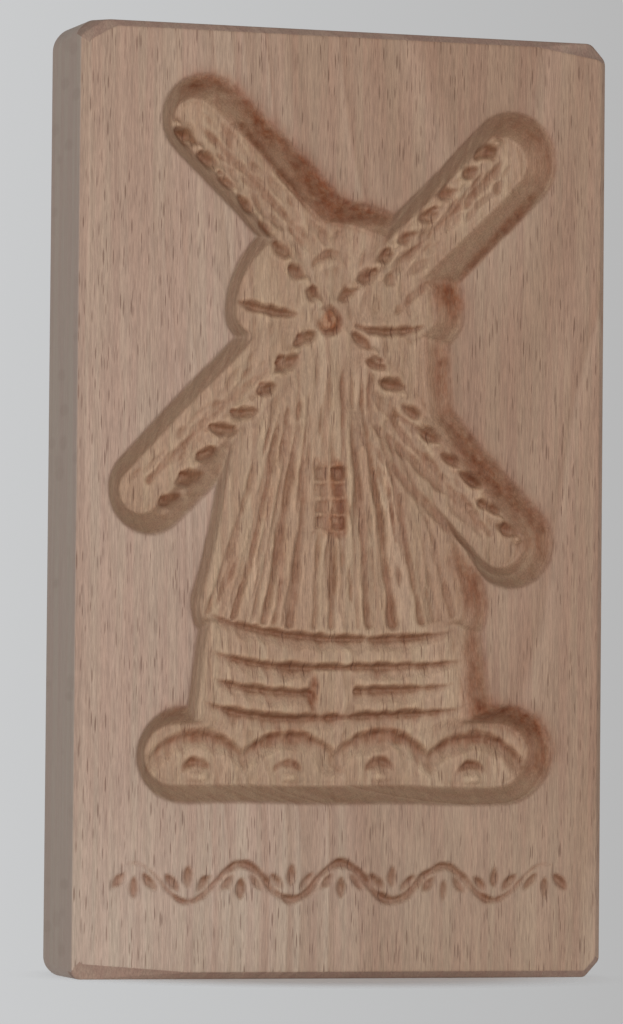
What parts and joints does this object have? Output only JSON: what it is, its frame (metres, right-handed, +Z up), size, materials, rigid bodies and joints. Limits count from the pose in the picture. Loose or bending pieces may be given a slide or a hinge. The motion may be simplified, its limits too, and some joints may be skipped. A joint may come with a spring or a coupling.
{
  "type": "speculaas board",
  "caption": "Upright wooden biscuit mould, a beech board with a recessed windmill carving, sloping walls, scalloped mound and a running vine along the foot.",
  "frame": {"origin": "middle of the bottom end, on the plane that the board stands on", "axes": "+Z up along the grain and the board's length, -Y out of the carved face, +X to the right as the carved face is looked at"},
  "size_m": [0.13, 0.025, 0.22],
  "materials": {
    "beech": "bare steamed beech, sanded on the face, with fine ray flecks and tool-marked, slightly darker carving"
  },
  "bodies": {
    "root": {"board": "beech"}
  },
  "joints": []
}
